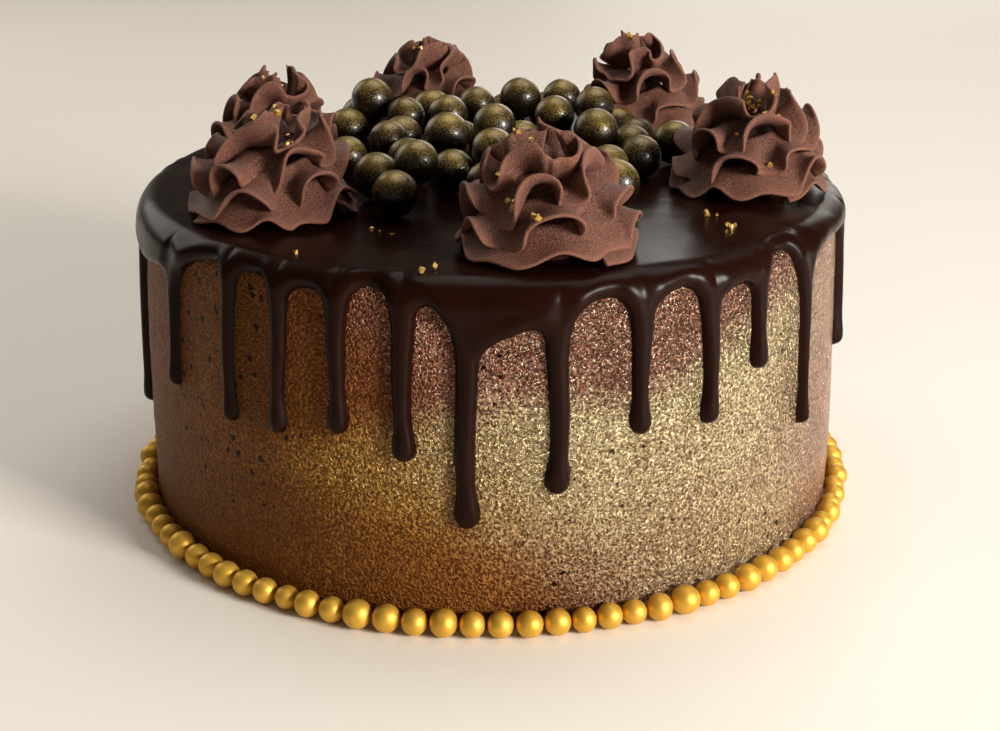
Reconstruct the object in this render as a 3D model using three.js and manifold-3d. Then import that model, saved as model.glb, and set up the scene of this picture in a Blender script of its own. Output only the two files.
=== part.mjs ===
// A round chocolate drip cake: a tall buttercream-coated cake under a poured ganache top that runs down
// the side in drips, with six piped buttercream rosettes round a heap of chocolate balls, and a border of
// sugar pearls round its foot. Millimetres, +Z up, origin in the middle of the base, front towards -Y.
import * as THREE from "three";
import { mergeVertices } from "three/addons/utils/BufferGeometryUtils.js";
import Module from "manifold-3d";

const wasm = await Module();
wasm.setup();

// Driving dimensions.
const totalHeight = 91; // base to the ganache's top
const footRadius = 100.3; // buttercream side at the base
const lean = 2.4; // how much smaller the radius is at the top
const leanPower = 3; // the side stands nearly upright at the foot and leans in towards the shoulder
const shoulderRound = 5; // rounding of the buttercream's top edge
const footBevel = 1;
const ganacheThickness = 2.2;
const gap = 0.3; // between pieces that touch
const skirtDrop = 7; // how far the ganache hangs down the side between two drips
const dripRadius = 2.35; // half the width of a drip's stem
const bulbSwell = 1.2; // a drip's rounded end against its stem
const pearlDiameter = 7;
const ballDiameter = 12.2;
const ballUnevenness = 0.05; // share by which a ball may be larger or smaller

// Fineness of the facets.
const sideFacets = 48;
const dripFacets = 6;
const rosetteFacets = 24;
const rosetteLevels = 9;
const pearlSectionFacets = 6;
const shoulderSteps = 2;
const sideSteps = 3;

const colours = {
  buttercream: 0x7d5a3c,
  ganache: 0x2a1b17,
  piping: 0x6b4438,
  ball: 0x2f2a1a,
  pearl: 0xd9a441,
};

const bodyTop = totalHeight - ganacheThickness - gap;
const topRadius = footRadius - lean;
const shoulderFoot = bodyTop - shoulderRound;

const cake = new THREE.Group();

function add(name, geometry, colour, roughness, metalness) {
  const mesh = new THREE.Mesh(geometry, new THREE.MeshStandardMaterial({ color: colour, roughness, metalness }));
  mesh.name = name;
  cake.add(mesh);
  return mesh;
}

// A profile of [radius, height] pairs, from the axis round the outside and back to it, turned about +Z.
function turned(profile, facets) {
  const points = profile.map(([radius, height]) => new THREE.Vector2(radius, height));
  return new THREE.LatheGeometry(points, facets).rotateX(Math.PI / 2);
}

function toSolid(geometry) {
  const bare = geometry.clone();
  bare.deleteAttribute("normal");
  bare.deleteAttribute("uv");
  const merged = mergeVertices(bare, 1e-3);
  return new wasm.Manifold(
    new wasm.Mesh({
      numProp: 3,
      vertProperties: merged.attributes.position.array,
      triVerts: new Uint32Array(merged.index.array),
    }),
  );
}

function toGeometry(solid) {
  const { vertProperties, triVerts } = solid.getMesh();
  const geometry = new THREE.BufferGeometry();
  geometry.setAttribute("position", new THREE.BufferAttribute(vertProperties, 3));
  geometry.setIndex(new THREE.BufferAttribute(triVerts, 1));
  geometry.computeVertexNormals();
  return geometry;
}

// A point at an angle from the front, which is positive towards the right, on a circle about +Z.
function onCircle(degrees, radius, height) {
  const angle = THREE.MathUtils.degToRad(degrees);
  return new THREE.Vector3(radius * Math.sin(angle), -radius * Math.cos(angle), height);
}

// The side leans in a little towards the top, by a power of the height.
function sideRadius(height) {
  return footRadius - lean * Math.pow(height / shoulderFoot, leanPower);
}

// The buttercream-coated cake: a leaning side, a rounded shoulder and a flat top. outset grows it outwards.
function bodyProfile(outset) {
  const profile = [
    [0, 0],
    [footRadius - footBevel + outset, 0],
    [footRadius + outset, footBevel],
  ];
  for (let step = 1; step < sideSteps; step++) {
    const height = (step / sideSteps) * shoulderFoot;
    profile.push([sideRadius(height) + outset, height]);
  }
  const round = shoulderRound + outset;
  const middle = [topRadius - shoulderRound, shoulderFoot];
  for (let step = 0; step <= shoulderSteps; step++) {
    const turn = (step / shoulderSteps) * (Math.PI / 2);
    profile.push([middle[0] + round * Math.cos(turn), middle[1] + round * Math.sin(turn)]);
  }
  profile.push([0, bodyTop + outset]);
  return profile;
}

function buttercreamBody() {
  return turned(bodyProfile(0), sideFacets);
}

// Drips as [degrees from the front, height of the lowest point above the base], from left to right.
const frontDrips = [
  [-88, 62],
  [-80.5, 28.3],
  [-56.1, 49.3],
  [-41.3, 46.8],
  [-31.7, 47.7],
  [-22.1, 50.7],
  [-12.4, 45.4],
  [-3.6, 28.6],
  [9.2, 37.3],
  [21.2, 50.7],
  [32.7, 49.7],
  [42.5, 60],
  [54.9, 38.3],
  [78.5, 46.8],
  [88, 58],
];
// The far side's drips: as many again, at uneven spacing and length.
const backDripCount = 16;
const backDripStart = 99;
const backDripPitch = 10.9;
const backDripUnevenness = 1.8;
const backDripHeight = 47;
const backDripSpread = 10;

function allDrips() {
  const drips = [...frontDrips];
  for (let i = 0; i < backDripCount; i++) {
    const degrees = backDripStart + i * backDripPitch + backDripUnevenness * Math.sin(2.6 * i);
    drips.push([degrees, backDripHeight + backDripSpread * Math.sin(2.1 * i + 1)]);
  }
  return drips;
}

// One drip: a round stem that widens into the skirt above it and swells into a bulb at its end. It follows
// the side's lean, and the half inside the cake is cut away later.
function drip(degrees, lowest) {
  const bulb = dripRadius * bulbSwell;
  const skirtEdge = totalHeight - skirtDrop;
  const profile = [
    [0, lowest],
    [bulb * 0.8, lowest + bulb * 0.5],
    [bulb, lowest + bulb * 1.3],
    [dripRadius, skirtEdge - dripRadius * 2],
    [dripRadius * 1.7, skirtEdge + ganacheThickness],
    [0, skirtEdge + ganacheThickness],
  ];
  const geometry = turned(profile, dripFacets).rotateZ(THREE.MathUtils.degToRad(degrees));
  const inset = dripRadius - ganacheThickness;
  const position = geometry.attributes.position;
  for (let i = 0; i < position.count; i++) {
    const middle = onCircle(degrees, sideRadius(position.getZ(i)) - inset, 0);
    position.setXY(i, position.getX(i) + middle.x, position.getY(i) + middle.y);
  }
  return toSolid(geometry);
}

// The ganache: a puck over the top and the skirt, joined with its drips, less the cake inside it.
function ganacheCoat() {
  const round = shoulderRound + ganacheThickness + gap;
  const outer = topRadius + ganacheThickness + gap;
  const edge = totalHeight - skirtDrop;
  const profile = [
    [0, edge],
    [outer - ganacheThickness, edge],
    [outer, edge + ganacheThickness * 0.6],
  ];
  for (let step = 0; step <= shoulderSteps; step++) {
    const turn = (step / shoulderSteps) * (Math.PI / 2);
    const radius = outer - round + round * Math.cos(turn);
    const height = totalHeight - round + round * Math.sin(turn);
    if (height > edge + ganacheThickness) profile.push([radius, height]);
  }
  profile.push([0, totalHeight]);
  let coat = toSolid(turned(profile, sideFacets));
  for (const [degrees, lowest] of allDrips()) coat = coat.add(drip(degrees, lowest));
  const clearance = toSolid(turned(bodyProfile(gap), sideFacets));
  return toGeometry(coat.subtract(clearance));
}

// Rosettes as [name, place to the right, place towards the back, radius, height, how far it is turned].
const rosettes = [
  ["rosette_front", 12.5, -72, 24.5, 31, 0],
  ["rosette_right", 72.5, -14.5, 23.5, 32, 140],
  ["rosette_back_right", 49.5, 58, 21.5, 32, 60],
  ["rosette_back", -21, 69.5, 20.5, 28.5, 220],
  ["rosette_back_left", -65, 14.5, 20.5, 29, 310],
  ["rosette_front_left", -58, -40, 24, 29.5, 95],
];
const rosetteFlutes = 8;
const fluteDepth = 0.09; // share of the radius, out and in
const tierCount = 3; // turns of the piped spiral
const tierDepth = 0.08; // share of the radius that each turn stands out and steps in
const fluteSlant = 1.6; // turns that a flute makes over the whole height

// The swirl's outline without flutes, as shares of its radius and height: a wide foot that leans in to a tip.
const outlinePower = 0.75;
const footTuck = 0.08;

function rosetteOutline(share) {
  return Math.pow(1 - share, outlinePower) * (1 - footTuck * Math.exp(-share * 12));
}

// A piped swirl: a turned cone whose surface steps in under each turn of the spiral and folds into flutes.
function rosette(radius, height) {
  const profile = [[0, 0]];
  for (let level = 0; level < rosetteLevels; level++) {
    const share = level / rosetteLevels;
    profile.push([radius * rosetteOutline(share), share * height]);
  }
  profile.push([0, height]);
  const geometry = turned(profile, rosetteFacets);
  const position = geometry.attributes.position;
  for (let i = 0; i < position.count; i++) {
    const angle = Math.atan2(position.getY(i), position.getX(i));
    const share = position.getZ(i) / height;
    const tier = Math.cos(2 * Math.PI * tierCount * share - angle);
    const flute = Math.cos(rosetteFlutes * angle + fluteSlant * 2 * Math.PI * share);
    const swell = 1 + tierDepth * tier + fluteDepth * flute;
    position.setXY(i, position.getX(i) * swell, position.getY(i) * swell);
  }
  return geometry;
}

function placeRosettes() {
  for (const [name, x, y, radius, height, turn] of rosettes) {
    const mesh = add(name, rosette(radius, height), colours.piping, 0.75, 0);
    mesh.position.set(x, y, totalHeight + gap);
    mesh.rotation.z = THREE.MathUtils.degToRad(turn);
  }
}

// The heap of chocolate balls, as [place to the right, place towards the back]. The balls at its edge lie
// on the ganache, a loose layer fills the ground between them, and the upper balls lie on both.
const edgeBalls = [
  [-25, -45],
  [-31, -27],
  [-41, -3],
  [-43.5, 30],
  [-10.5, -21],
  [-1, -34],
  [33, -36],
  [32.5, -14],
  [42, -5.5],
  [40.5, 8],
  [43, 21.5],
  [53.5, 12],
  [38.5, 35],
  [1, 32],
  [-26.5, 19],
];
const upperBalls = [
  [-20, -31],
  [0.5, -23],
  [-12.5, -6],
  [-29.5, 4],
  [1, 4],
  [15, -4],
  [18.5, 15],
  [30, 3],
  [31, 29],
  [22, 47],
  [9, 43.5],
  [-4.5, 41.5],
  [-18.5, 47],
  [-13, 28],
  [-26, 31],
  [-36.5, 38],
];
const underUpper = 10.2; // least level distance from an upper ball's middle to a ball on the ground
const supportReach = 11; // level distance from an upper ball's middle to the balls that carry it
const supportDirections = 16; // directions in which a carrying ball is tried
const flankTilt = Math.PI / 4; // how far a rosette's flank faces upwards where a ball leans on it
const mostBalls = 51;

const balls = [];

// Lowers a ball at (x, y) until it meets the ganache, a rosette's flank or a ball that is already there.
function landBall(x, y) {
  const radius = (ballDiameter / 2) * (1 + ballUnevenness * Math.sin(2.4 * balls.length));
  let z = totalHeight + gap + radius;
  for (const [, middleX, middleY, base, height] of rosettes) {
    const touch = Math.hypot(x - middleX, y - middleY) - radius * Math.cos(flankTilt);
    if (touch >= base) continue;
    const flank = height * (1 - Math.pow(touch / base, 1 / outlinePower));
    z = Math.max(z, totalHeight + gap + flank + radius * Math.sin(flankTilt));
  }
  for (const other of balls) {
    const reach = radius + other.radius + gap;
    const flat = Math.hypot(x - other.x, y - other.y);
    if (flat < reach) z = Math.max(z, other.z + Math.sqrt(reach ** 2 - flat ** 2));
  }
  balls.push({ x, y, z, radius });
}

function freeGround(x, y) {
  const reach = ballDiameter * (1 + ballUnevenness) + gap;
  const clearOfBalls = balls.every((other) => Math.hypot(x - other.x, y - other.y) > reach);
  const clearOfUpper = upperBalls.every(([upX, upY]) => Math.hypot(x - upX, y - upY) > underUpper);
  const clearOfRosettes = rosettes.every(([, middleX, middleY, radius]) => {
    return Math.hypot(x - middleX, y - middleY) > radius + reach / 2;
  });
  return clearOfBalls && clearOfUpper && clearOfRosettes;
}

// Lays balls on the ground round each upper ball's middle, wherever there is room, to carry it.
function layCarriers() {
  for (const [upX, upY] of upperBalls) {
    for (let i = 0; i < supportDirections; i++) {
      const turn = (i * 2 * Math.PI) / supportDirections;
      const x = upX + supportReach * Math.cos(turn);
      const y = upY + supportReach * Math.sin(turn);
      if (balls.length < mostBalls - upperBalls.length && freeGround(x, y)) landBall(x, y);
    }
  }
}

function heapBalls() {
  for (const [x, y] of edgeBalls) landBall(x, y);
  layCarriers();
  for (const [x, y] of upperBalls) landBall(x, y);
  balls.forEach(({ x, y, z, radius }, i) => {
    const name = "choc_ball_" + String(i + 1).padStart(2, "0");
    add(name, new THREE.DodecahedronGeometry(radius), colours.ball, 0.4, 0.2).position.set(x, y, z);
  });
}

// The border of pearls: one closed ring that swells at each pearl and narrows where two of them meet.
const pearlRingRadius = footRadius + gap + pearlDiameter / 2;
const pearlCount = Math.floor((2 * Math.PI * pearlRingRadius) / pearlDiameter);
const pearlWaist = 0.55;

function pearlBorder() {
  const section = [];
  for (let side = 0; side <= pearlSectionFacets; side++) {
    const turn = Math.PI / 2 - (side * 2 * Math.PI) / pearlSectionFacets;
    const reach = pearlDiameter / 2;
    section.push([pearlRingRadius + reach * Math.cos(turn), reach * (1 + Math.sin(turn))]);
  }
  const geometry = turned(section.reverse(), pearlCount * 2);
  const position = geometry.attributes.position;
  for (let i = 0; i < position.count; i++) {
    const x = position.getX(i);
    const y = position.getY(i);
    const atPearl = Math.cos(Math.atan2(x, -y) * pearlCount) > 0;
    const swell = atPearl ? 1 : pearlWaist;
    const middleX = (pearlRingRadius * x) / Math.hypot(x, y);
    const middleY = (pearlRingRadius * y) / Math.hypot(x, y);
    const middleZ = pearlDiameter / 2;
    position.setXYZ(
      i,
      middleX + (x - middleX) * swell,
      middleY + (y - middleY) * swell,
      middleZ + (position.getZ(i) - middleZ) * swell,
    );
  }
  return geometry;
}

add("cake_body", buttercreamBody(), colours.buttercream, 0.6, 0.2);
add("ganache_coat", ganacheCoat(), colours.ganache, 0.3, 0);
placeRosettes();
heapBalls();
add("pearl_border", pearlBorder(), colours.pearl, 0.35, 0.8);

export default cake;
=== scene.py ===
import math
import bpy
import numpy as np
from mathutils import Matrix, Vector
from mathutils.bvhtree import BVHTree


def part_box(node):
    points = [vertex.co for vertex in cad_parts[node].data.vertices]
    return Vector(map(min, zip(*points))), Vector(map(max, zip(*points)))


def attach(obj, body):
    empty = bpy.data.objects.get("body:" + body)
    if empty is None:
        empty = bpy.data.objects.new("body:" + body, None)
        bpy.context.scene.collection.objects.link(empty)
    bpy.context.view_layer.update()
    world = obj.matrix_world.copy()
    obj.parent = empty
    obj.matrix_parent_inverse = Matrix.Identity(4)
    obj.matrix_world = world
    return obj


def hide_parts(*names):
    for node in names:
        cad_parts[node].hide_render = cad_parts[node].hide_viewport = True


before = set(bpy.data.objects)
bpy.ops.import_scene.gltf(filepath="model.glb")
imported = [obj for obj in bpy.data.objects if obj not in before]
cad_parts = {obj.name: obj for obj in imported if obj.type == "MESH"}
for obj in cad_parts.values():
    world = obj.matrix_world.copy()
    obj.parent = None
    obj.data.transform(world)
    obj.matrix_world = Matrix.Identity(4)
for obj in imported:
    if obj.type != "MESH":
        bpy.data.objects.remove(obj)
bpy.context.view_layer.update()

# ---------------------------------------------------------------- where the cake stands
# The cake stands on a plain pale table and is seen from a little above its top. Daylight comes from the
# front right, a broad soft light hangs overhead, and two weak warm ones fill in from behind.
MM = 0.001
lens_length = 57.6
camera_place = (0, -448.9, 204.4)
camera_turn = (69.02, 0, -0.315)
nearest_seen = 10
table_width = 24.0  # metres
table_drop = 0.2

camera = bpy.data.objects.new("camera", bpy.data.cameras.new("camera"))
camera.data.lens = lens_length
camera.data.clip_start = nearest_seen * MM
camera.location = [length * MM for length in camera_place]
camera.rotation_euler = [math.radians(degrees) for degrees in camera_turn]
bpy.context.scene.collection.objects.link(camera)
bpy.context.scene.camera = camera
bpy.context.scene.view_settings.view_transform = "Standard"

cake_middle = np.array([0, 0, 60 * MM])


def soft_light(name, direction, distance, size, power, colour):
    """A square area light that stands off the cake's middle in a direction and faces back to it."""
    lamp = bpy.data.lights.new(name, "AREA")
    lamp.size = size
    lamp.energy = power
    lamp.color = colour
    light = bpy.data.objects.new(name, lamp)
    away = np.array(direction) / np.linalg.norm(direction)
    light.location = cake_middle + away * distance
    light.rotation_euler = (math.acos(away[2]), 0, math.atan2(away[1], away[0]) + math.pi / 2)
    bpy.context.scene.collection.objects.link(light)


# Each light's name, direction from the cake, distance and width in metres, power in watts, and colour.
soft_lights = [
    ("window", (0.75, -0.64, 0.28), 1.1, 0.3, 20, (1.0, 0.96, 0.90)),
    ("overhead", (0.15, 0.25, 1.0), 1.3, 1.0, 8, (1.0, 0.99, 0.98)),
    ("back_fill", (-0.8, 0.7, 0.5), 1.3, 0.8, 4.0, (1.0, 0.94, 0.84)),
    ("far_wall", (0.33, 1.0, 0.27), 1.6, 0.8, 4.2, (1.0, 0.95, 0.88)),
]
for light_values in soft_lights:
    soft_light(*light_values)

studio = bpy.data.worlds.new("studio")
studio.use_nodes = True
studio_air = studio.node_tree.nodes["Background"]
studio_air.inputs["Color"].default_value = (1.0, 0.90, 0.78, 1)
studio_air.inputs["Strength"].default_value = 0.12
bpy.context.scene.world = studio


def new_finish(name, **values):
    """A material of one Principled shader, with its even values set on the shader's own sockets."""
    finish = bpy.data.materials.new(name)
    finish.use_nodes = True
    shader = finish.node_tree.nodes["Principled BSDF"]
    for socket, value in values.items():
        shader.inputs[socket.replace("_", " ")].default_value = value
    return finish, finish.node_tree, shader


table_finish, _, _ = new_finish("pale_table", Roughness=0.6, Base_Color=(0.84, 0.79, 0.71, 1))
bpy.ops.mesh.primitive_plane_add(size=table_width, location=(0, 0, -table_drop * MM))
table = bpy.context.object
table.name = "pale_table"
table.data.materials.append(table_finish)

# ---------------------------------------------------------------- the cake in its buttercream coat
# A tall round sponge in chocolate buttercream, scraped straight and chilled, then sprayed with cocoa butter
# that dries to fine grains. Gold lustre dust is brushed on in one slanting field, and a few air holes stay.
foot_radius = 100.3
body_top = 88.5
body_lean = 2.4
lean_power = 3
shoulder_round = 5.0
side_columns = 720
side_step = 0.9
shoulder_rows = 7
side_inset = 0.35  # the side's waves are centred this far inside the plain shape
flat_radius = 90  # the bottom and the top stay flat inside this


def side_radius(height):
    """The side's radius in mm: the foot's, less the lean times a power of the share of the side's height."""
    return foot_radius - body_lean * (height / (body_top - shoulder_round)) ** lean_power


def wave_field(across, up, seed, most_across, most_up, waves=24):
    """A smooth uneven field of about -1 to 1: the sum of sine waves with random whole numbers of turns
    across, up to most_across, and random rates up, up to most_up."""
    draw = np.random.default_rng(seed)
    turns = draw.integers(-most_across, most_across + 1, waves)
    rates = draw.uniform(-most_up, most_up, waves)
    starts = draw.uniform(0, 2 * np.pi, waves)
    field = sum(np.sin(t * across + r * up + s) for t, r, s in zip(turns, rates, starts))
    return field / math.sqrt(waves)


def smooth_step(low, high, value):
    """0 at low, 1 at high, an even S curve between them, and level beyond. It falls where low is larger."""
    share = np.clip((value - low) / (high - low), 0, 1)
    return share * share * (3 - 2 * share)


def ring_quads(rows, columns, first=0):
    """Quads between the rows of a grid that closes on itself across. Its points run row by row."""
    row, column = np.meshgrid(np.arange(rows - 1), np.arange(columns), indexing="ij")
    here = first + row * columns + column
    beside = first + row * columns + (column + 1) % columns
    return np.stack([here, beside, beside + columns, here + columns], axis=-1).reshape(-1, 4)


def pole_fan(ring_start, columns, pole, upper):
    """Triangles from a ring of points to one pole point, facing out at the upper or the lower end."""
    here = ring_start + np.arange(columns)
    beside = ring_start + (np.arange(columns) + 1) % columns
    middle = np.full(columns, pole)
    return np.stack([middle, here, beside] if upper else [middle, beside, here], axis=-1)


def closed_grid_faces(rows, columns):
    """Faces of a closed shape whose points are all its rows, then its lower pole, then its upper pole."""
    count = rows * columns
    return [
        ring_quads(rows, columns),
        pole_fan(0, columns, count, upper=False),
        pole_fan(count - columns, columns, count + 1, upper=True),
    ]


def mesh_piece(name, points, faces, finish, stands_for=(), layers=None, smooth=True):
    """A mesh from points in mm and arrays of faces, with a finish and a float layer for each name in
    layers, hung on the cake's one body and standing for the nodes that it replaces."""
    corners = np.concatenate([group.ravel() for group in faces]).astype(np.int32)
    sizes = np.concatenate([np.full(len(group), group.shape[1]) for group in faces]).astype(np.int32)
    mesh = bpy.data.meshes.new(name)
    mesh.vertices.add(len(points))
    mesh.vertices.foreach_set("co", (points * MM).astype(np.float32).ravel())
    mesh.loops.add(len(corners))
    mesh.loops.foreach_set("vertex_index", corners)
    mesh.polygons.add(len(sizes))
    mesh.polygons.foreach_set("loop_start", np.concatenate([[0], np.cumsum(sizes)[:-1]]).astype(np.int32))
    mesh.polygons.foreach_set("use_smooth", np.full(len(sizes), smooth))
    for layer, values in (layers or {}).items():
        made = mesh.attributes.new(layer, "FLOAT", "POINT")
        made.data.foreach_set("value", values.astype(np.float32).ravel())
    mesh.update(calc_edges=True)
    mesh.materials.append(finish)
    piece = bpy.data.objects.new(name, mesh)
    bpy.context.scene.collection.objects.link(piece)
    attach(piece, "root")
    if stands_for:
        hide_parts(*stands_for)
    return piece


# The dusted fields, in degrees from a field's middle and mm above the foot. Each rise of the gold's upper
# edge has the degrees where it starts and ends, and its height.
half_field = 97
gold_edge_left = 46
gold_edge_rises = [(-36, -4, 13.5), (14, 42, 12), (40, 60, 14)]
gold_edge_wander = 1.2
gold_edge_waves = 11
gold_edge_fade = (-7, 9)
gold_thinning = (14, 46)  # mm below the edge
gold_left_fade = (-50, 6)
gold_right_dimming = (66, 42)
gold_right_fade = (92, 80)
foot_zone = 38  # below this, the gold's left side draws back to the right
foot_slant = 1.1  # by these degrees for each mm
rose_rise = (-20, 96)
rose_slope = 2.4  # mm that the rose reaches further down for each degree to the right
rose_right_end = 72
rose_behind = 0.45
rose_behind_fade = (74, 88)


def round_twice(azimuth):
    """Degrees from the middle of one of the two dusted fields, the one in front or the one behind, which is
    a little narrower and is stretched to the same half width."""
    behind = ((azimuth % 360) - 180) * half_field / (180 - half_field)
    return np.where(np.abs(azimuth) < half_field, azimuth, behind)


def gold_cover(azimuth, height):
    """How thickly the gold dust lies, from 0 to 1. It is thickest just below an edge that climbs to the
    right in three rises, and it thins out further down, less so on the right. It fades away to the left,
    and in two steps to the right."""
    across = round_twice(azimuth)
    edge = gold_edge_left
    for start, end, rise in gold_edge_rises:
        edge = edge + rise * smooth_step(start, end, across)
    below = edge + gold_edge_wander * np.sin(np.radians(across) * gold_edge_waves) - height
    from_left = smooth_step(*gold_left_fade, across - foot_slant * np.clip(foot_zone - height, 0, 40))
    dimming = 0.15 + 0.85 * smooth_step(*gold_right_dimming, across)
    to_right = smooth_step(*gold_right_fade, across) * dimming
    thinning = (0.6 - 0.25 * smooth_step(5, 35, across)) * smooth_step(*gold_thinning, below)
    return smooth_step(*gold_edge_fade, below) * (1 - thinning) * from_left * to_right


def mauve_cover(azimuth, height):
    """How much the sprayed coat turns from brown to rose, from 0 to 1: all of it from the middle to the
    right, and less and less down the left, where the coat is thin. Behind, it never turns quite brown."""
    across = round_twice(azimuth)
    rose = smooth_step(*rose_rise, height + rose_slope * across)
    rose = rose * smooth_step(half_field, rose_right_end, across)
    return np.maximum(rose, rose_behind * smooth_step(*rose_behind_fade, np.abs(azimuth)))


def coated_body():
    """The body's profile, of radius and height, carried round the axis. Long low waves of a few tenths of
    a millimetre run over the side, as the scraper leaves them."""
    side = np.arange(side_step, body_top - shoulder_round, side_step)
    bend = np.linspace(0, np.pi / 2, shoulder_rows)
    radii = np.concatenate([
        [40, foot_radius - 1.5, foot_radius - 0.5],
        side_radius(side),
        foot_radius - body_lean - shoulder_round + shoulder_round * np.cos(bend),
        [60, 25],
    ])
    heights = np.concatenate([
        [0, 0, 0.25],
        side,
        body_top - shoulder_round + shoulder_round * np.sin(bend),
        [body_top, body_top],
    ])
    angle = np.linspace(0, 2 * np.pi, side_columns, endpoint=False)[None, :]
    height = heights[:, None]
    scraped = 0.22 * wave_field(angle, height, seed=3, most_across=9, most_up=0.09)
    ripples = 0.06 * wave_field(angle, height, seed=4, most_across=110, most_up=1.1)
    radius = radii[:, None] + (scraped + ripples - side_inset) * (radii[:, None] > flat_radius)
    grid = np.stack(np.broadcast_arrays(radius * np.sin(angle), -radius * np.cos(angle), height), axis=-1)
    azimuth = np.degrees((angle + np.pi) % (2 * np.pi) - np.pi)
    layers = {}
    for name, cover in (("gold", gold_cover), ("mauve", mauve_cover)):
        layers[name] = np.append(cover(azimuth, height).ravel(), [0, 0])
    points = np.concatenate([grid.reshape(-1, 3), [[0, 0, 0], [0, 0, body_top]]])
    return points, closed_grid_faces(len(radii), side_columns), layers


def put_node(tree, kind, sockets=None, **settings):
    """Adds a shader node. Each socket gets a number, a colour, or the output that is linked to it."""
    made = tree.nodes.new("ShaderNode" + kind)
    for name, value in settings.items():
        setattr(made, name, value)
    for name, value in (sockets or {}).items():
        if isinstance(value, bpy.types.NodeSocket):
            tree.links.new(value, made.inputs[name])
        else:
            made.inputs[name].default_value = value
    return made


def own_place(tree):
    """Where each point of a piece is, in metres."""
    return put_node(tree, "TexCoord").outputs["Object"]


def layer_value(tree, name):
    """The value of one of the mesh's own float layers."""
    return put_node(tree, "Attribute", attribute_name=name).outputs["Fac"]


def noise(tree, place, scale, detail, roughness=0.5):
    """Cloudy noise from 0 to 1. Its scale is in patches to the metre."""
    sockets = {"Vector": place, "Scale": scale, "Detail": detail, "Roughness": roughness}
    return put_node(tree, "TexNoise", sockets).outputs["Fac"]


def spread(tree, value, low=0.0, high=1.0, to_low=0.0, to_high=1.0):
    """The range from low to high spread evenly over the one from to_low to to_high, and held inside it."""
    sockets = {"Value": value, "From Min": low, "From Max": high, "To Min": to_low, "To Max": to_high}
    return put_node(tree, "MapRange", sockets).outputs[0]


def combine(tree, operation, first, second):
    """Two values put together by an operation of arithmetic."""
    return put_node(tree, "Math", {0: first, 1: second}, operation=operation).outputs[0]


def mix_colours(tree, share, first, second):
    """A colour between two others, each given as red, green and blue or as an output."""
    ends = [end if isinstance(end, bpy.types.NodeSocket) else (*end, 1) for end in (first, second)]
    sockets = {"Factor": share, "A": ends[0], "B": ends[1]}
    return put_node(tree, "Mix", sockets, data_type="RGBA").outputs["Result"]


def relief_normal(tree, height, strength, depth, **onto):
    """The shading normal of a fine relief, with its depth in mm, by itself or laid onto a coarser one."""
    sockets = {"Height": height, "Strength": strength, "Distance": depth * MM, **onto}
    return put_node(tree, "Bump", sockets).outputs["Normal"]


def link_shader(tree, shader, **values):
    """Links what varies over the surface to the shader's sockets."""
    for socket, value in values.items():
        tree.links.new(value, shader.inputs[socket.replace("_", " ")])


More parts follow.
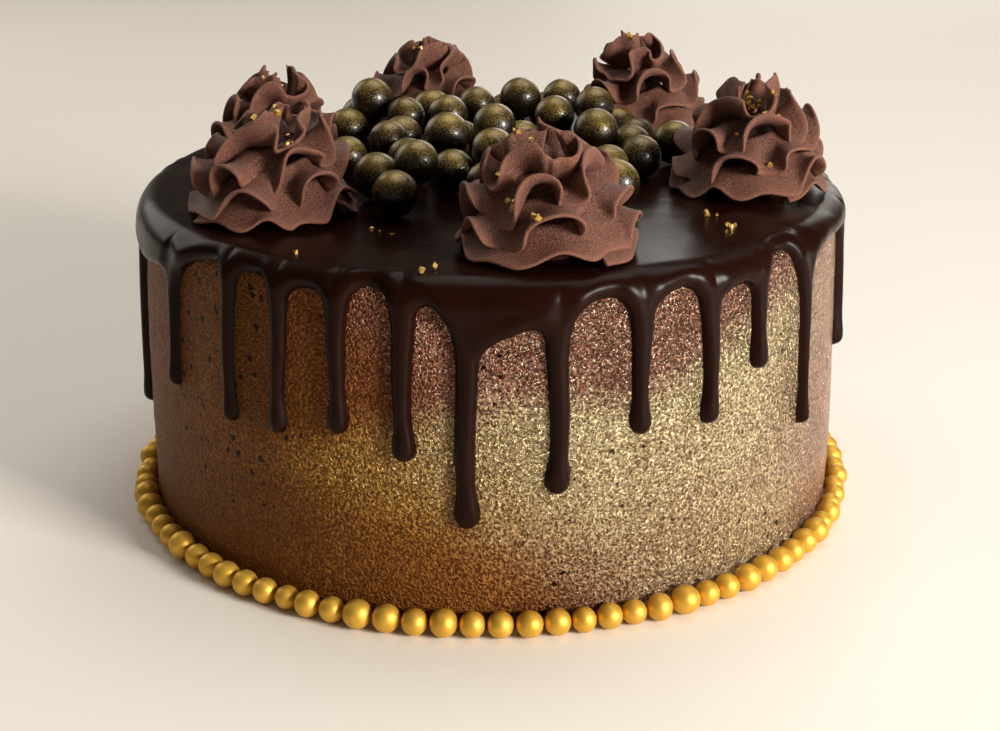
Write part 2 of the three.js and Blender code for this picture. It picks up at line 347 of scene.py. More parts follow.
def sprayed_buttercream():
    """Fine cocoa grains over buttercream, from brown where the coat is thin through red brown to rose where
    it is full. Each tone is painted dark between the grains, as shade, and light on their tops, as highlight,
    over their own uneven tone. Dust that frays at its edge turns them to gold, olive on the thin coat and
    pale on the rose, and the paler gold towards the right also paints the window light that falls there.
    Painted glints are bright specks mixed into the colour over the dust and the rose. An air hole is the
    place near the middle of a random cell, with a jagged rim, painted near black as the shade inside it. The
    holes come in clusters, most of them on the thin coat."""
    finish, tree, shader = new_finish("sprayed_buttercream", Specular_IOR_Level=0.15)
    place = own_place(tree)
    gold = layer_value(tree, "gold")
    mauve = layer_value(tree, "mauve")
    grain = spread(tree, noise(tree, place, scale=1250, detail=2, roughness=0.6), 0.35, 0.65)
    patch = noise(tree, place, scale=32, detail=4, roughness=0.6)

    thin_spots = spread(tree, patch, 0.35, 0.65, 0.75, 1.12)
    frayed = spread(tree, grain, to_low=-0.16, to_high=0.16)
    dust = combine(tree, "ADD", combine(tree, "MULTIPLY", gold, thin_spots), frayed)
    gilded = spread(tree, dust, 0.1, 0.94)

    # Each tone runs by the grain from a dark end, painted shade between the grains, to a light end, painted
    # highlight on their tops.
    brown_share = combine(tree, "MULTIPLY", patch, grain)
    brown = mix_colours(tree, brown_share, (0.080, 0.022, 0.003), (0.390, 0.144, 0.024))
    red_brown = mix_colours(tree, grain, (0.086, 0.020, 0.008), (0.205, 0.060, 0.024))
    rose = mix_colours(tree, grain, (0.070, 0.020, 0.012), (0.470, 0.215, 0.145))
    thin_coat = mix_colours(tree, spread(tree, mauve, high=0.5), brown, red_brown)
    coat = mix_colours(tree, spread(tree, mauve, low=0.4), thin_coat, rose)

    # Olive gold on the thin coat and pale gold on the rose. The paler, brighter gold towards the right is
    # also painted window light.
    olive_gold = mix_colours(tree, grain, (0.140, 0.062, 0.007), (0.450, 0.250, 0.035))
    pale_gold = mix_colours(tree, grain, (0.190, 0.105, 0.034), (1.000, 0.860, 0.520))
    gold_tone = mix_colours(tree, spread(tree, mauve, low=0.12), olive_gold, pale_gold)
    dusted = mix_colours(tree, gilded, coat, gold_tone)

    shiny = combine(tree, "MAXIMUM", gilded, mauve)
    # Painted glints: bright pale gold specks mixed into the colour, most where the coat is dusted or rose.
    painted_glint_spots = spread(tree, noise(tree, place, scale=2000, detail=1), 0.59, 0.68)
    painted_glint = combine(tree, "MULTIPLY", painted_glint_spots, spread(tree, shiny, low=0.3, to_high=0.9))
    with_painted_glints = mix_colours(tree, painted_glint, dusted, (1.0, 0.92, 0.68))

    cells = put_node(tree, "TexVoronoi", {"Vector": place, "Scale": 210}, feature="F1")
    jagged = spread(tree, grain, to_low=-0.05, to_high=0.05)
    from_middle = combine(tree, "ADD", cells.outputs["Distance"], jagged)
    fewer_holes = spread(tree, mauve, high=0.8, to_high=0.07)
    airy = combine(tree, "SUBTRACT", noise(tree, place, scale=21, detail=2), fewer_holes)
    hole_size = spread(tree, airy, 0.43, 0.60, to_high=0.20)
    hole = spread(tree, combine(tree, "SUBTRACT", hole_size, from_middle), high=0.04)
    # The air holes are painted near black: the shade inside them.
    colour = mix_colours(tree, hole, with_painted_glints, (0.014, 0.005, 0.002))

    metal = spread(tree, shiny, to_low=0.4, to_high=0.85)
    rough = spread(tree, shiny, to_low=0.5, to_high=0.25)
    grain_height = combine(tree, "MULTIPLY", grain, spread(tree, shiny, to_low=0.55))
    pitted = combine(tree, "SUBTRACT", grain_height, hole)
    normal = relief_normal(tree, pitted, strength=1.0, depth=0.75)
    link_shader(tree, shader, Base_Color=colour, Metallic=metal, Roughness=rough, Normal=normal)
    return finish


body_points, body_faces, body_layers = coated_body()
mesh_piece("coated_cake", body_points, body_faces, sprayed_buttercream(),
           stands_for=["cake_body"], layers=body_layers)

# ---------------------------------------------------------------- the poured ganache and its drips
# Dark chocolate ganache, poured warm over the chilled top so that it runs over the shoulder in a skirt and
# down the side in drips, each with a rounded end. It sets to a satin skin with a thick rounded lip.
coat_thickness = 2.5
drip_thickness = 2.1
coat_columns = 1280
coat_step = 0.6
coat_shoulder_rows = 14
lowest_row = 24.0
lip_width = 2.7
runs_together = 5.0
drip_swell = 1.2
drip_wander = 0.3
neck_thinning = 0.1
fan_top = 84  # the fans above the drips are full from this height up
fan_length = 6.5

# Degrees from the front, height of the drip's end, its stem's half width, and how far it fans out above.
front_drips = [
    (-88, 61, 1.8, 1.5),
    (-80.8, 28.3, 2.0, 1.5),
    (-56.1, 48.8, 1.7, 4.5),
    (-41.3, 46.8, 1.65, 0.8),
    (-31.7, 47.5, 1.85, 1.0),
    (-22.1, 50.5, 2.0, 1.2),
    (-12.4, 45.3, 2.25, 1.4),
    (-3.6, 28.6, 2.35, 2.4),
    (9.2, 37.3, 2.4, 2.4),
    (21.2, 50.5, 2.15, 2.0),
    (32.7, 49.5, 1.95, 2.0),
    (42.6, 60.0, 1.95, 1.2),
    (54.9, 38.2, 1.4, 4.5),
    (78.5, 46.8, 1.8, 1.5),
    (88, 57.5, 1.8, 1.5),
]
# The drips behind stand a little unevenly apart and are of mixed lengths.
back_drip_count = 16
back_drip_start = 99
back_drip_pitch = 10.9
back_drip_shift = 1.8
back_drip_height = 47
back_drip_spread = 10
back_half_width = 2.1
back_fan = 2.0
back_drips = []
for number in range(back_drip_count):
    degrees = back_drip_start + number * back_drip_pitch + back_drip_shift * math.sin(2.6 * number)
    end = back_drip_height + back_drip_spread * math.sin(2.1 * number + 1)
    back_drips.append((degrees, end, back_half_width, back_fan))

# The skirt's edge between the drips: degrees from the front and the height there, measured up the side
# and on round the shoulder.
skirt_edge = [
    (-84, 80), (-68, 77), (-60, 79), (-52, 83), (-48, 86), (-44.5, 87.2), (-39.5, 86.6), (-35.5, 87),
    (-31, 85.5), (-27, 85.8), (-23, 86), (-20, 87.4), (-17.5, 88.6), (-15, 88), (-11, 86), (-8.5, 84.6),
    (-6, 81.5), (-4, 77), (-1.9, 73.6), (1, 76), (5, 78.6), (9, 80.5), (12, 83.3), (15, 85.2), (18, 85.5),
    (22, 84), (25, 84.2), (28, 85.6), (31, 85), (35, 82.6), (38, 83.3), (40.5, 83), (44, 85.5), (47, 88.2),
    (51, 88), (55, 85), (60, 83.5), (64, 84.5), (70, 83.5), (83, 83.5),
]
edge_blur = 0.9
back_arch_height = 84.0
back_arch_spread = 3.5
back_arch_waves = 17


def skirt_line(azimuth):
    """The height of the skirt's edge all round: straight runs between the listed places, with every corner
    rounded by a bell-shaped mean over about a degree."""
    places, edges = np.array(skirt_edge).T
    behind = np.linspace(places[-1], places[0] + 360, 60)[1:-1]
    arches = back_arch_height + back_arch_spread * np.sin(np.radians(behind) * back_arch_waves)
    places = np.concatenate([places, behind])
    edges = np.concatenate([edges, arches])
    shifts = np.linspace(-2.5, 2.5, 21) * edge_blur
    weights = np.exp(-0.5 * (shifts / edge_blur) ** 2)
    near = np.interp(azimuth[..., None] + shifts, places, edges, period=360)
    return (near * weights).sum(axis=-1) / weights.sum()


def coat_path():
    """The path from the lowest row up the side, round the shoulder and in over the top: for each row its
    radius, height, outward slope, and the distance gone since the foot."""
    side = np.arange(lowest_row, body_top - shoulder_round, coat_step)
    bend = np.linspace(0, np.pi / 2, coat_shoulder_rows)[1:]
    inner = foot_radius - body_lean - shoulder_round
    top = inner - np.array([2.0, 4.5, 8, 12])
    radius = np.concatenate([side_radius(side), inner + shoulder_round * np.cos(bend), top])
    height = np.concatenate([side, body_top - shoulder_round + shoulder_round * np.sin(bend),
                             np.full(len(top), body_top)])
    outward = np.concatenate([np.ones(len(side)), np.cos(bend), np.zeros(len(top))])
    gone = np.concatenate([side, body_top - shoulder_round * (1 - bend),
                           body_top + shoulder_round * (np.pi / 2 - 1) + inner - top])
    return radius, height, outward, gone


def join(first, second, width):
    """The larger of two distance fields, with the corner between them rounded over a width."""
    near = np.clip(width - np.abs(first - second), 0, None) / width
    return np.maximum(first, second) + near * near * width / 4


def ganache_field(azimuth, gone):
    """The distance in mm inside the ganache's outline, on the unrolled side: above the skirt's edge, or
    inside a drip, whose half width swells at its end, narrows to a neck above it and fans out towards the
    top. With it come the width and the thickness of the round lip there, which pass from the skirt's to
    the drip's own."""
    field = gone - skirt_line(azimuth)
    lip = np.full(field.shape, lip_width)
    thick = np.full(field.shape, coat_thickness)
    for number, (degrees, end, half_width, fan) in enumerate(front_drips + back_drips):
        away = (azimuth - degrees + 180) % 360 - 180
        wander = drip_wander * np.sin(gone / 6.5 + 2.3 * number) * smooth_step(90, 70, gone)
        across = np.radians(away) * foot_radius - wander
        bulb = half_width * drip_swell + 0.15
        up = gone - (end + bulb)
        neck = half_width * (1 - neck_thinning * np.exp(-((up - 8.5) / 4.5) ** 2))
        swell = np.exp(-np.clip(up - 0.6, 0, None) ** 2 / 14)
        fanned = fan * np.exp(-np.clip(fan_top - gone, 0, 60) / fan_length)
        width = neck + (bulb - half_width) * swell + fanned
        inside = width - np.hypot(across, np.clip(-up, 0, None) * 0.9)
        own = smooth_step(-2.5, 3.0, inside - field)
        lip = lip + (np.clip(width, 1, lip_width) - lip) * own
        thick = thick + (drip_thickness * (0.92 + 0.2 * swell) - thick) * own
        field = join(field, inside, runs_together)
    return field, lip, thick


def coat_relief(azimuth, gone):
    """How far the ganache stands off the cake: half a round from its outline to the lip's width, a low
    bead behind the skirt's lip, and a slight unevenness. It sinks in outside. The outline's field comes
    with it."""
    field, lip, thick = ganache_field(azimuth, gone)
    share = np.clip(field / lip, 0, 1)
    relief = thick * np.sqrt(1 - (1 - share) ** 2)
    relief = relief + 0.25 * np.exp(-((field - 2.6) / 1.7) ** 2) * (field > 0) * smooth_step(76, 84, gone)
    waves = wave_field(np.radians(azimuth), gone, seed=11, most_across=22, most_up=0.14)
    uneven = 0.14 * waves * smooth_step(1, 6, field)
    return np.where(field > 0, relief + uneven, 2.2 * field), field


def half_ring_faces(fine_start, fine_columns, coarse_start):
    """Triangles from a ring to a next ring that has half as many points."""
    half = np.arange(fine_columns // 2)
    left = fine_start + 2 * half
    middle = left + 1
    right = fine_start + (2 * half + 2) % fine_columns
    over = coarse_start + half
    over_right = coarse_start + (half + 1) % (fine_columns // 2)
    return np.concatenate([
        np.stack([left, middle, over], axis=-1),
        np.stack([middle, over_right, over], axis=-1),
        np.stack([middle, right, over_right], axis=-1),
    ])


# The radii of the flat top's rings. Each group has half as many points round as the one before it.
top_rings = ((74, 66, 57), (46, 36), (26, 18), (9,))
kept_outside = 0.6  # how far outside the outline a face may reach, where it is already inside the cake


def poured_coat():
    """The coat's grid, the path's rows times the columns round the cake, pushed out along the slope by the
    relief. Faces that lie wholly inside the cake are left out, and the flat top closes in coarser rings."""
    radius, height, outward, gone = (row[:, None] for row in coat_path())
    azimuth = np.linspace(0, 360, coat_columns, endpoint=False)[None, :]
    relief, field = coat_relief(azimuth, gone)
    upward = np.sqrt(1 - outward ** 2)
    reach = radius + relief * outward
    angle = np.radians(azimuth)
    grid = np.stack([reach * np.sin(angle), -reach * np.cos(angle), height + relief * upward], axis=-1)
    rows = grid.shape[0]
    points = [grid.reshape(-1, 3)]
    quads = ring_quads(rows, coat_columns)
    shown = (field.ravel()[quads] > -kept_outside).any(axis=1)
    faces = [quads[shown]]
    start = (rows - 1) * coat_columns
    total = rows * coat_columns
    columns = coat_columns
    for ring_radii in top_rings:
        rings = np.array(ring_radii, dtype=float)[:, None]
        columns //= 2
        turn = np.linspace(0, 2 * np.pi, columns, endpoint=False)[None, :]
        waves = wave_field(turn, rings, seed=12, most_across=5, most_up=0.1)
        level = body_top + coat_thickness + 0.12 * waves
        flat = np.stack(np.broadcast_arrays(rings * np.sin(turn), -rings * np.cos(turn), level), axis=-1)
        points.append(flat.reshape(-1, 3))
        faces.append(half_ring_faces(start, columns * 2, total))
        faces.append(ring_quads(len(rings), columns, first=total))
        start = total + (len(rings) - 1) * columns
        total += len(rings) * columns
    points.append(np.array([[0, 0, body_top + coat_thickness]]))
    faces.append(pole_fan(start, columns, total, upper=True))
    return np.concatenate(points), faces


def only_used(points, faces):
    """The points that some face uses, and the faces with their corners numbered anew."""
    used = np.unique(np.concatenate([group.ravel() for group in faces]))
    number = np.zeros(len(points), dtype=np.int64)
    number[used] = np.arange(len(used))
    return points[used], [number[group] for group in faces]


def set_ganache():
    """A satin skin: nearly black brown, a little duller in patches, with slow swells and very fine pits."""
    finish, tree, shader = new_finish("set_ganache", Specular_IOR_Level=0.08)
    place = own_place(tree)
    cloud = noise(tree, place, scale=45, detail=3)
    fine = noise(tree, place, scale=700, detail=2)
    colour = mix_colours(tree, cloud, (0.0068, 0.0015, 0.0006), (0.0130, 0.0031, 0.0014))
    rough = spread(tree, cloud, to_low=0.20, to_high=0.34)
    swells = relief_normal(tree, cloud, strength=0.5, depth=1.2)
    pits = relief_normal(tree, fine, strength=0.12, depth=0.12, Normal=swells)
    link_shader(tree, shader, Base_Color=colour, Roughness=rough, Normal=pits)
    return finish


coat_points, coat_faces = only_used(*poured_coat())
poured_ganache = mesh_piece("poured_ganache", coat_points, coat_faces, set_ganache(),
                            stands_for=["ganache_coat"])

# ---------------------------------------------------------------- the piped rosettes
# Six swirls of chocolate buttercream, piped with a wide open star nozzle held close, so that the thin
# fins buckle into deep folds as they wind up round a core to a tip of a few upright petals.
fin_count = 3
fin_turns = 1.5
fin_steps = 460
section_steps = 12
lip_round_steps = 3
root_thickness = 1.45
lip_thinning = 0.55
core_share = 0.46
core_height = 0.82
core_tip = 0.83
fold_share = 0.86
fold_swing = 0.245
foot_part = 0.12  # the share of a fin's length that lies round the foot before it starts to climb
gap_below = 0.3  # between a plain rosette and the ganache, closed here so that the swirl rests on it

# A fin by its climb from the foot to the tip: degrees that its lip is tilted up, and its depth from root
# to lip as a share of the rosette's radius.
tilt_climbs = [0, 0.3, 0.5, 0.7, 0.85, 1]
tilt_degrees = [-42, -36, -22, 16, 58, 88]
depth_climbs = [0, 0.4, 0.7, 1]
depth_shares = [0.46, 0.46, 0.5, 0.52]

# The dome that the folds stay inside, as shares of the rosette's height and of its radius.
dome_heights = [0, 0.25, 0.5, 0.7, 0.85, 1.0, 1.1]
dome_radii = [1.03, 1.0, 0.89, 0.68, 0.47, 0.25, 0.18]
dome_softness = 0.09

# Node, turns of the pattern, tip's lean to the right and to the back in mm, and the random seed.
piped_rosettes = [
    ("rosette_front", 0.10, (-1.5, 1.0), 31),
    ("rosette_right", 0.40, (1.0, 0.0), 22),
    ("rosette_back_right", 0.15, (-5.5, 0.0), 23),
    ("rosette_back", 0.70, (2.0, 0.0), 24),
    ("rosette_back_left", 0.55, (3.0, 0.0), 25),
    ("rosette_front_left", 0.85, (5.0, 1.0), 26),
]


def slow_noise(along, seed, waves_along):
    """An uneven line of about -1 to 1 with a given number of waves along it."""
    draw = np.random.default_rng(seed)
    rates = draw.uniform(0.5, 1.5, 5) * waves_along * 2 * np.pi
    starts = draw.uniform(0, 2 * np.pi, 5)
    return np.sin(np.outer(along, rates) + starts).sum(axis=1) / 2.6


def unit(vectors):
    """Each vector at length 1."""
    return vectors / np.linalg.norm(vectors, axis=-1, keepdims=True)


def within_dome(points, radius, height):
    """Draws what would stand out beyond a dome's outline softly in to it, so that the folds press flat."""
    reach = np.hypot(points[..., 0], points[..., 1])
    dome = radius * np.interp(points[..., 2] / height, dome_heights, dome_radii)
    soft = dome_softness * radius
    held = dome - soft * np.logaddexp(0, (dome - reach) / soft)
    points[..., :2] *= (held / np.maximum(reach, 0.01))[..., None]
    return points


def ruffled_sheet(radius, height, seed, start, share_out):
    """The middle surface of one fin, by its length along the spiral and its share from root to lip. Round
    the foot it falls outwards to a lip on the ganache, then it climbs a steep cone and stands up at the tip.
    The lip swings across the fin with a sine of the folds, and back and forth along it with twice their
    rate, so that each fold opens into a horseshoe. Round the foot it lies in broad lows with narrow pinches
    between them instead. The folds are of like length all the way up, so fewer go round near the tip. The
    swing grows from the root outwards, and every fold has its own size."""
    along = np.linspace(0, 1, fin_steps)
    angle = start + along * fin_turns * 2 * np.pi
    climb = np.clip((along - foot_part) / (1 - foot_part), 0, None) ** 1.1
    closing = smooth_step(0.93, 1.0, along)
    on_foot = 1 - smooth_step(0.04, 0.26, climb)
    # The cone that the lips wind up, how the fin is turned on it, and how deep the fin is.
    lip_radius = radius * (0.94 - 0.30 * climb - 0.42 * climb ** 3)
    lip_height = height * (0.04 + 0.97 * climb - 0.08 * closing)
    tilt = np.radians(np.interp(climb, tilt_climbs, tilt_degrees))
    depth = radius * np.interp(climb, depth_climbs, depth_shares)
    # How far round its folds the fin has come, in radians, and the size of each fold.
    fold = radius * fold_share
    turning = lip_radius / fold * fin_turns * 4 * np.pi ** 2 / (fin_steps - 1) * (1 - 0.3 * on_foot)
    phase = start * 2.3 + np.cumsum(turning) + 0.8 * slow_noise(along, seed, 3.5)
    size = np.clip(1 + 0.38 * slow_noise(along, seed + 50, 5), 0.4, 1.5)
    size = size * (1 - 0.5 * smooth_step(0.6, 1, climb))

    outward = np.stack([np.sin(angle), -np.cos(angle), np.zeros_like(angle)], axis=-1)
    forward = np.stack([np.cos(angle), np.sin(angle), np.zeros_like(angle)], axis=-1)
    upward = np.array([0, 0, 1.0])
    to_lip = outward * np.cos(tilt)[:, None] + upward * np.sin(tilt)[:, None]
    level_part = np.sin(tilt) * (1 - 1.25 * on_foot)
    across = outward * level_part[:, None] - upward * np.cos(tilt)[:, None]
    lip = outward * lip_radius[:, None] + upward * lip_height[:, None]

    # How far the lip is moved across the fin, forward along it, and out from its root.
    pinch = 0.25 - 1.05 * np.exp(-3.2 * (1 + np.sin(phase)))
    wave = np.sin(phase) + (pinch - np.sin(phase)) * on_foot
    swing = fold_swing * fold * size * wave + 0.02 * fold * slow_noise(along, seed + 70, 16)
    push = -0.085 * fold * (1 - 0.6 * on_foot) * np.sin(2 * phase) + 0.03 * fold * np.cos(phase)
    reach = 0.04 * fold * np.cos(2 * phase + 0.8) + 0.04 * fold * slow_noise(along, seed + 90, 7)
    out = share_out[None, :, None]
    grown = out ** 1.4
    points = lip[:, None, :] - to_lip[:, None, :] * (depth[:, None, None] * (1 - out))
    points = points + across[:, None, :] * (depth[:, None, None] * 0.3 * out * (1 - out))
    points = points + across[:, None, :] * (swing[:, None, None] * grown)
    points = points + forward[:, None, :] * (push[:, None, None] * grown)
    points = points + to_lip[:, None, :] * (reach[:, None, None] * grown)
    return within_dome(points, radius, height)


def rest_on(points, level):
    """Lifts what would sink below a level, softly, so that the lowest folds flatten on it."""
    low = 1.2
    points[..., 2] = level + low * np.logaddexp(0, (points[..., 2] - level) / low)
    return points


def piped_fin(radius, height, seed, start):
    """One fin as a closed strip: the ruffled sheet moved half its thickness to either side along its
    normal, with a half round along the lip. Its points run along the spiral, round its section."""
    half_round = np.linspace(-np.pi / 2, np.pi / 2, lip_round_steps + 2)[1:-1]
    out = np.linspace(0, 1, section_steps)
    flat = np.zeros(section_steps)
    share_out = np.concatenate([out, np.full(lip_round_steps, 1.0), out[::-1]])
    side = np.concatenate([flat - 1.0, np.sin(half_round), flat + 1.0])
    beyond = np.concatenate([flat, np.cos(half_round), flat])
    sheet = rest_on(ruffled_sheet(radius, height, seed, start, out), 0.5)
    along_sheet, out_sheet = np.gradient(sheet, axis=(0, 1))
    normal = unit(np.cross(along_sheet, out_sheet))
    towards_lip = unit(out_sheet)
    step = np.arange(section_steps)
    index = np.concatenate([step, np.full(lip_round_steps, section_steps - 1), step[::-1]])
    half = ((root_thickness - lip_thinning * share_out) / 2)[None, :, None]
    points = sheet[:, index] + normal[:, index] * (side[None, :, None] * half)
    points = points + towards_lip[:, index] * (beyond[None, :, None] * half)
    lip_layer = np.broadcast_to(share_out[None, :] ** 6, points.shape[:2])
    ends = np.stack([points[0].mean(axis=0), points[-1].mean(axis=0)])
    layer = np.append(lip_layer.ravel(), [0, 1])
    return np.concatenate([points.reshape(-1, 3), ends]), closed_grid_faces(fin_steps, len(index)), layer


def piped_core(radius, height, seed):
    """The solid middle that the fins are piped round: a cone with a wide foot, lumpy by a millimetre."""
    rows, columns = 24, 48
    share = np.linspace(0, 1, rows)[:, None]
    angle = np.linspace(0, 2 * np.pi, columns, endpoint=False)[None, :]
    lumps = 1 + 0.05 * wave_field(angle, share * 9, seed, 5, 1.0)
    reach = radius * core_share * (1 - share) ** 0.75 * lumps
    reach = reach * (0.93 + 0.07 * smooth_step(0, 0.08, share)) + 0.6
    level = np.broadcast_to(share * height * core_height, reach.shape)
    grid = np.stack([reach * np.sin(angle), -reach * np.cos(angle), level], axis=-1).reshape(-1, 3)
    poles = np.array([[0, 0, 0], [0, 0, height * core_tip]])
    return np.concatenate([grid, poles]), closed_grid_faces(rows, columns), np.zeros(rows * columns + 2)


def piping_buttercream():
    """Whipped chocolate buttercream: matt and porous, painted near black in its pits as shade, and paler
    along a fin's thin lip.
    """
    finish, tree, shader = new_finish("piping_buttercream", Specular_IOR_Level=0.5, Sheen_Weight=0.05,
                                      Sheen_Roughness=0.5)
    place = own_place(tree)
    lip = layer_value(tree, "lip")
    pores = noise(tree, place, scale=2300, detail=3, roughness=0.72)
    cloud = noise(tree, place, scale=90, detail=2)
    # The pits' near-black tone is painted shade.
    painted_pit_shade = mix_colours(tree, cloud, (0.022, 0.0052, 0.0022), (0.038, 0.0100, 0.0046))
    light = mix_colours(tree, cloud, (0.170, 0.050, 0.022), (0.250, 0.080, 0.040))
    body = mix_colours(tree, spread(tree, pores, 0.40, 0.62), painted_pit_shade, light)
    colour = mix_colours(tree, combine(tree, "MULTIPLY", lip, 0.4), body, (0.260, 0.092, 0.050))
    rough = spread(tree, pores, to_low=0.7, to_high=0.36)
    normal = relief_normal(tree, pores, strength=1.0, depth=0.45)
    link_shader(tree, shader, Base_Color=colour, Roughness=rough, Normal=normal)
    return finish


piping_finish = piping_buttercream()
rosette_pieces = []
for node, turns, lean_to, seed in piped_rosettes:
    low, high = (np.array(corner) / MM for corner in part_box(node))
    radius = (high - low)[:2].mean() / 2
    height = (high - low)[2]
    fin_starts = [fin * 2 * np.pi / fin_count for fin in range(fin_count)]
    parts = [piped_fin(radius, height, seed + 100 * fin, start) for fin, start in enumerate(fin_starts)]
    parts.append(piped_core(radius, height, seed))
    firsts = np.cumsum([0] + [len(part[0]) for part in parts])
    points = np.concatenate([part[0] for part in parts])
    faces = [group + first for part, first in zip(parts, firsts) for group in part[1]]
    lip_layer = np.concatenate([part[2] for part in parts])
    turned = turns * 2 * np.pi
    x, y, z = points.T
    bend = (z / height) ** 2
    placed = np.stack([
        x * np.cos(turned) - y * np.sin(turned) + lean_to[0] * bend + (low[0] + high[0]) / 2,
        x * np.sin(turned) + y * np.cos(turned) + lean_to[1] * bend + (low[1] + high[1]) / 2,
        z + low[2] - gap_below,
    ], axis=-1)
    rosette_pieces.append(mesh_piece("piped_" + node, placed, faces, piping_finish,
                                     stands_for=[node], layers={"lip": lip_layer}))

# ---------------------------------------------------------------- the chocolate balls
# Crisp balls in dark chocolate, polished and then tossed in green gold dust, and heaped in the middle. The
# dust lies in fine specks that thin out towards each ball's bottom, which also paints shade on its lower
# half, and the polish shows through it.
box_share = 0.934  # half the width of a ball's plain solid, which has twelve faces, against its radius
ball_rows = 22
ball_columns = 40
first_ball_seed = 300


def uneven_ball(radius, seed):
    """A sphere by latitude and longitude whose radius varies by one or two hundredths in long waves."""
    latitude = np.linspace(-np.pi / 2, np.pi / 2, ball_rows + 2)[1:-1, None]
    longitude = np.linspace(0, 2 * np.pi, ball_columns, endpoint=False)[None, :]
    swell = 1 + 0.012 * np.cos(latitude) * wave_field(longitude, latitude, seed, 3, 3.0)
    flat = radius * swell * np.cos(latitude)
    level = radius * swell * np.sin(latitude)
    grid = np.stack([flat * np.sin(longitude), -flat * np.cos(longitude), level], axis=-1)
    poles = np.array([[0, 0, -radius], [0, 0, radius]])
    points = np.concatenate([grid.reshape(-1, 3), poles])
    return points, closed_grid_faces(ball_rows, ball_columns)


def dusted_chocolate():
    """Nearly black chocolate under a clear polish, with specks of green gold dust that thin out downwards,
    which also paints shade on each ball's lower half.
    """
    finish, tree, shader = new_finish("dusted_chocolate", Specular_IOR_Level=0.3, Coat_Weight=0.3,
                                      Coat_Roughness=0.12)
    place = own_place(tree)
    top_side = layer_value(tree, "top_side")
    specks = noise(tree, place, scale=2300, detail=3, roughness=0.7)
    smears = spread(tree, noise(tree, place, scale=150, detail=2), 0.3, 0.7, -0.07, 0.07)
    # The dust fades by height on the ball, which also paints shade on the lower half.
    thinning_and_painted_shade_below = spread(tree, top_side, -0.35, 0.9, 0.30, -0.10)
    lying = combine(tree, "ADD", combine(tree, "SUBTRACT", specks, thinning_and_painted_shade_below), smears)
    dust = spread(tree, lying, 0.42, 0.66)
    colour = mix_colours(tree, dust, (0.0075, 0.0042, 0.0018), (0.260, 0.176, 0.038))
    metal = combine(tree, "MULTIPLY", dust, 0.75)
    rough = spread(tree, dust, to_low=0.26, to_high=0.36)
    normal = relief_normal(tree, specks, strength=0.6, depth=0.2)
    link_shader(tree, shader, Base_Color=colour, Metallic=metal, Roughness=rough, Normal=normal)
    return finish


ball_finish = dusted_chocolate()
for number, node in enumerate(sorted(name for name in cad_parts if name.startswith("choc_ball"))):
    low, high = (np.array(corner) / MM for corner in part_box(node))
    radius = (high - low).mean() / 2 / box_share
    ball_points, ball_faces = uneven_ball(radius, first_ball_seed + number)
    mesh_piece("dusted_ball_%02d" % (number + 1), ball_points + (low + high) / 2, ball_faces, ball_finish,
               stands_for=[node], layers={"top_side": ball_points[:, 2] / radius})

# ---------------------------------------------------------------- the pearl border
# Sugar pearls painted with gold lustre, set one against the next round the foot while the side was still
# soft. They were picked by eye, so their sizes differ by a millimetre or so.
pearl_count = 93
pearl_rows = 12
pearl_columns = 20
pearl_mean = 7.0
pearl_unevenness = 0.075
pearl_reach = 0.4  # how far inside the foot's radius the innermost pearls come
pearl_seed = 7


def pearl_ring():
    """A ring of spheres of random size that rest on the table close against the side, each as far round from
    the last as half their two widths together."""
    draw = np.random.default_rng(pearl_seed)
    uneven = np.clip(draw.standard_normal(pearl_count), -1.9, 1.9)
    width = pearl_mean * (1 + pearl_unevenness * uneven)
    pitch = (width + np.roll(width, -1)) / 2
    angle = np.concatenate([[0], np.cumsum(pitch)[:-1]]) / pitch.sum() * 2 * np.pi + 0.02
    latitude = np.linspace(-np.pi / 2, np.pi / 2, pearl_rows + 2)[1:-1]
    longitude = np.linspace(0, 2 * np.pi, pearl_columns, endpoint=False)
    unit_grid = np.stack(np.broadcast_arrays(
        np.cos(latitude)[:, None] * np.sin(longitude),
        -np.cos(latitude)[:, None] * np.cos(longitude),
        np.sin(latitude)[:, None],
    ), axis=-1).reshape(-1, 3)
    ball = np.concatenate([unit_grid, [[0, 0, -1.0], [0, 0, 1.0]]])
    ring_radius = foot_radius - pearl_reach + width / 2 + draw.uniform(0, 0.45, pearl_count)
    middles = np.stack([ring_radius * np.sin(angle), -ring_radius * np.cos(angle), width / 2], axis=-1)
    squash = 1 + draw.uniform(-0.03, 0.03, (pearl_count, 1, 3))
    points = middles[:, None, :] + ball[None] * squash * (width / 2)[:, None, None] * 0.985
    offsets = np.arange(pearl_count)[:, None, None] * len(ball)
    one_pearl = closed_grid_faces(pearl_rows, pearl_columns)
    faces = [(group[None] + offsets).reshape(-1, group.shape[1]) for group in one_pearl]
    return points.reshape(-1, 3), faces


def painted_pearl():
    """Gold lustre paint: a soft metal sheen, thinner and browner in small patches."""
    finish, tree, shader = new_finish("painted_pearl", Specular_IOR_Level=0.5, Metallic=0.65)
    place = own_place(tree)
    worn = noise(tree, place, scale=420, detail=3)
    fine = noise(tree, place, scale=1800, detail=2)
    colour = mix_colours(tree, worn, (0.56, 0.300, 0.026), (0.80, 0.480, 0.072))
    rough = spread(tree, worn, to_low=0.42, to_high=0.55)
    normal = relief_normal(tree, fine, strength=0.25, depth=0.15)
    link_shader(tree, shader, Base_Color=colour, Roughness=rough, Normal=normal)
    return finish


pearl_points, pearl_faces = pearl_ring()
mesh_piece("gold_pearls", pearl_points, pearl_faces, painted_pearl(), stands_for=["pearl_border"])

# ---------------------------------------------------------------- the gold sugar crystals
# Coarse gold sugar, pinched over the rosettes and the ganache from above. A crystal is an uneven little
# block of about a millimetre, and it lies where it fell.
crystal_size = 0.95
crystal_sink = 0.12
drop_height = 200
crystal_seed = 17

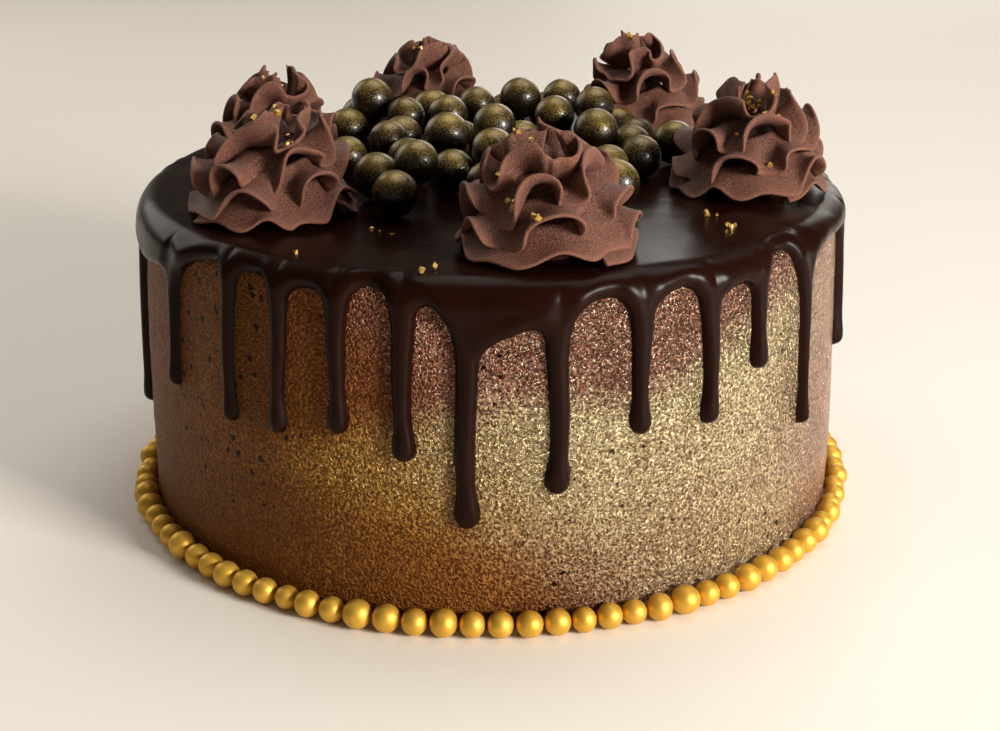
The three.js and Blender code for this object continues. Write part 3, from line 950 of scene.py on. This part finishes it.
# Where a pinch fell, in mm to the right and to the back, how far it scattered, and how many crystals.
pinches = [
    (10, -79, 1.8, 12),
    (9.5, -84, 2.0, 8),
    (10, -90, 3.0, 3),
    (16, -80, 3.0, 4),
    (4, -82, 3.0, 4),
    (6, -74, 2.5, 4),
    (72, -17, 2.5, 12),
    (76, -22, 2.2, 9),
    (75, -27, 2.2, 7),
    (66, -22, 4.0, 3),
    (-55, -42, 3.5, 10),
    (-52, -48, 2.5, 6),
    (-62, -46, 3.0, 4),
    (-62, 12, 4.0, 8),
    (-21, 66, 4.0, 8),
    (44, 55, 4.5, 10),
    (50, 52, 2.5, 5),
    (-26, -60, 8.0, 3),
    (-15, -92, 3.0, 2),
    (57, -45, 3.0, 3),
    (61, -55, 1.6, 4),
    (-46, -77, 1.0, 1),
]


def fallen_crystals(carriers):
    """Blocks with eight corners, each pushed about at random, turned at random and set down where a
    plumb line through its random place meets the first surface below."""
    draw = np.random.default_rng(crystal_seed)
    depsgraph = bpy.context.evaluated_depsgraph_get()
    trees = [BVHTree.FromObject(piece, depsgraph) for piece in carriers]
    spots = []
    for right, back, scatter, count in pinches:
        for dx, dy in draw.normal(0, scatter * 0.5, (count, 2)):
            start = Vector(((right + dx) * MM, (back + dy) * MM, drop_height * MM))
            hits = [tree.ray_cast(start, Vector((0, 0, -1)))[0] for tree in trees]
            level = max(hit.z for hit in hits if hit is not None) / MM
            spots.append((right + dx, back + dy, level))
    spots = np.array(spots)
    total = len(spots)
    corner = np.array([(x, y, z) for z in (-1, 1) for x, y in ((-1, -1), (1, -1), (1, 1), (-1, 1))]) / 2
    size = crystal_size * draw.uniform(0.55, 1.25, (total, 1, 1)) * draw.uniform(0.6, 1.3, (total, 1, 3))
    shape = corner[None] * size + draw.normal(0, 0.12, (total, 8, 3))
    w, x, y, z = unit(draw.standard_normal((total, 4))).T
    spin = np.stack([
        1 - 2 * (y * y + z * z), 2 * (x * y - z * w), 2 * (x * z + y * w),
        2 * (x * y + z * w), 1 - 2 * (x * x + z * z), 2 * (y * z - x * w),
        2 * (x * z - y * w), 2 * (y * z + x * w), 1 - 2 * (x * x + y * y),
    ], axis=-1).reshape(total, 3, 3)
    shape = np.einsum("nij,nkj->nki", spin, shape)
    lowest = shape[:, :, 2].min(axis=1)
    middles = spots + np.stack([np.zeros(total), np.zeros(total), -lowest - crystal_sink], axis=-1)
    block = np.array([(0, 3, 2, 1), (4, 5, 6, 7), (0, 1, 5, 4), (1, 2, 6, 5), (2, 3, 7, 6), (3, 0, 4, 7)])
    faces = (block[None] + np.arange(total)[:, None, None] * 8).reshape(-1, 4)
    return (shape + middles[:, None]).reshape(-1, 3), [faces]


def gold_sugar():
    """Sugar under gold paint: glossy, metallic, and uneven from crystal to crystal."""
    finish, tree, shader = new_finish("gold_sugar", Roughness=0.28, Coat_Weight=0.3, Coat_Roughness=0.1,
                                      Metallic=0.6)
    tone = noise(tree, own_place(tree), scale=900, detail=2)
    colour = mix_colours(tree, tone, (0.55, 0.28, 0.035), (0.95, 0.66, 0.20))
    normal = relief_normal(tree, tone, strength=0.3, depth=0.1)
    link_shader(tree, shader, Base_Color=colour, Normal=normal)
    return finish


crystal_points, crystal_faces = fallen_crystals(rosette_pieces + [poured_ganache])
mesh_piece("gold_crystals", crystal_points, crystal_faces, gold_sugar(), smooth=False)
